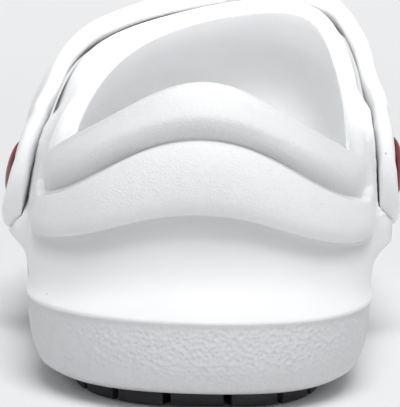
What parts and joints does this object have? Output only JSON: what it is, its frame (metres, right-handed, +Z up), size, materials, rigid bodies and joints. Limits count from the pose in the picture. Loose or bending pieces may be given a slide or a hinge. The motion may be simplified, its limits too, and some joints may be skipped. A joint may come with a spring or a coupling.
{
  "type": "chef clog",
  "caption": "Closed-toe kitchen clog for the left foot, moulded in white foam, with a black lugged rubber outsole and a riveted heel strap laid forward over the instep.",
  "frame": {"origin": "middle of the footprint, on the floor", "axes": "+Y from heel to toe, +X towards the inner side of the foot, +Z up"},
  "size_m": [0.109, 0.285, 0.0989],
  "materials": {
    "white_foam": "moulded closed-cell foam, matt, with a fine leather grain on the heel's folds and a coarse pebble on the sole's side",
    "insole_foam": "soft foam footbed, matt",
    "black_rubber": "moulded rubber, matt",
    "red_plastic": "moulded plastic, semi-gloss, plain",
    "white_plastic": "moulded plastic, satin"
  },
  "bodies": {
    "root": {"upper_midsole_shell": "white_foam", "heel_strap": "white_foam", "insole": "insole_foam", "outsole": "black_rubber", "rivet_outer": "red_plastic", "rivet_inner": "red_plastic", "rivet_washer_outer": "white_plastic", "rivet_washer_inner": "white_plastic"}
  },
  "joints": []
}
